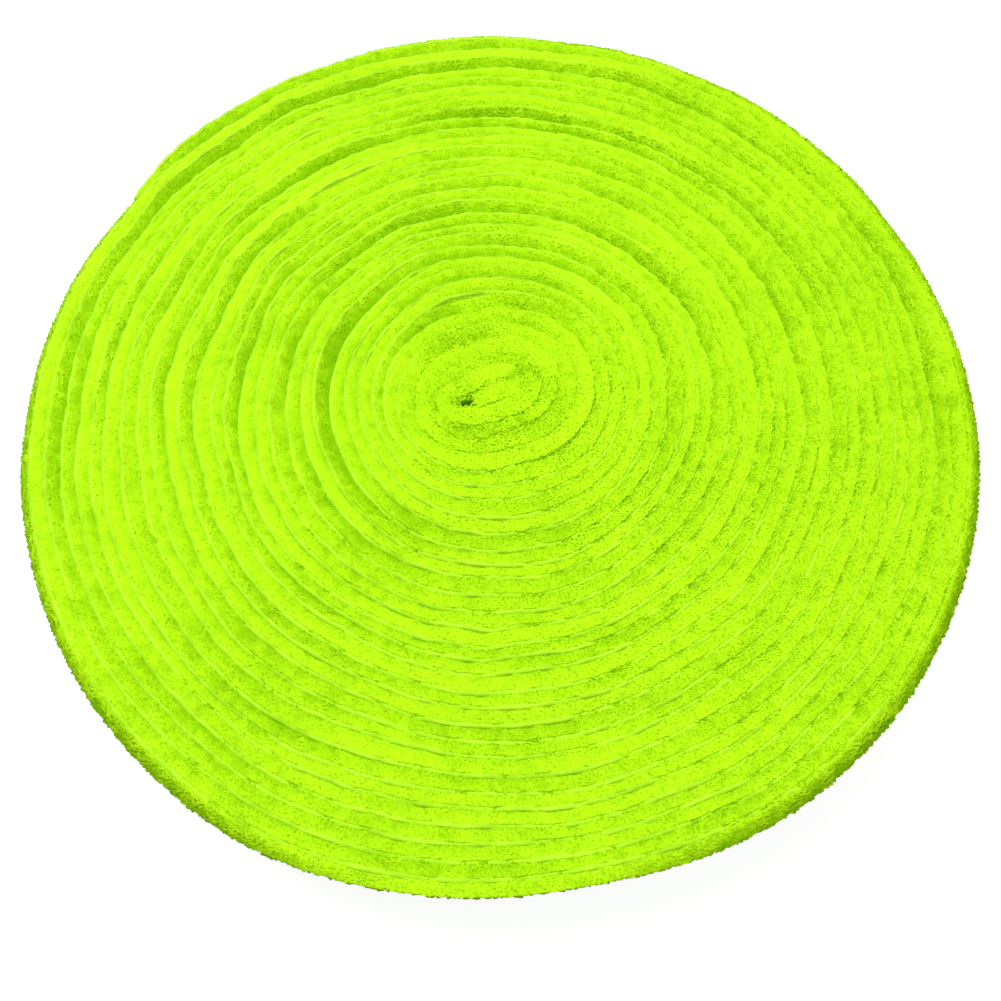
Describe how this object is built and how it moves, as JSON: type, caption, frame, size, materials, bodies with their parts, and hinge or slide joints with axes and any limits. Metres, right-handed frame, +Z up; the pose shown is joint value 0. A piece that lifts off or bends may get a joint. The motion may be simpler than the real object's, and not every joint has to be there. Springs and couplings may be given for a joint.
{
  "type": "grip tape roll",
  "caption": "Flat reel of terry towelling racket grip tape wound on itself, lying on one edge, with a free end that peels off the rim.",
  "frame": {"origin": "middle of the roll's outline in the plane that it rests on", "axes": "+Z up, along the strip's width; +X along the long axis of the oval middle, to the right; +Y away from the viewer. Turns wind outwards counter-clockwise seen from +Z."},
  "size_m": [0.1974, 0.1988, 0.027],
  "materials": {
    "terry_pile": "fluorescent yellow-green looped cotton pile",
    "ground_cloth": "smooth woven ground cloth and selvedge of the same colour",
    "adhesive_film": "tacky translucent film",
    "release_liner": "matt siliconised paper"
  },
  "bodies": {
    "roll": {"pile_roll": "terry_pile", "cloth_roll": "ground_cloth", "adhesive_roll": "adhesive_film", "liner_roll": "release_liner"},
    "tail_1": {"pile_tail_1": "terry_pile", "cloth_tail_1": "ground_cloth", "adhesive_tail_1": "adhesive_film", "liner_tail_1": "release_liner"},
    "tail_2": {"pile_tail_2": "terry_pile", "cloth_tail_2": "ground_cloth", "adhesive_tail_2": "adhesive_film", "liner_tail_2": "release_liner"},
    "tail_3": {"pile_tail_3": "terry_pile", "cloth_tail_3": "ground_cloth", "adhesive_tail_3": "adhesive_film", "liner_tail_3": "release_liner"},
    "tail_4": {"pile_tail_4": "terry_pile", "cloth_tail_4": "ground_cloth", "adhesive_tail_4": "adhesive_film", "liner_tail_4": "release_liner"}
  },
  "joints": [
    {"name": "peel", "type": "hinge", "parent": "roll", "child": "tail_1", "pos_m": [-0.00091, 0.09945, 0], "axis": [0, 0, -1], "range_deg": [0, 30]},
    {"name": "curl_2", "type": "hinge", "parent": "tail_1", "child": "tail_2", "pos_m": [-0.0219, 0.09721, 0], "axis": [0, 0, -1], "range_deg": [0, 18]},
    {"name": "curl_3", "type": "hinge", "parent": "tail_2", "child": "tail_3", "pos_m": [-0.04197, 0.09066, 0], "axis": [0, 0, -1], "range_deg": [0, 18]},
    {"name": "curl_4", "type": "hinge", "parent": "tail_3", "child": "tail_4", "pos_m": [-0.06024, 0.08008, 0], "axis": [0, 0, -1], "range_deg": [0, 18]}
  ],
  "couplings": [
    {"joint": "curl_2", "follows": "peel", "ratio": 0.6},
    {"joint": "curl_3", "follows": "peel", "ratio": 0.6},
    {"joint": "curl_4", "follows": "peel", "ratio": 0.6}
  ]
}
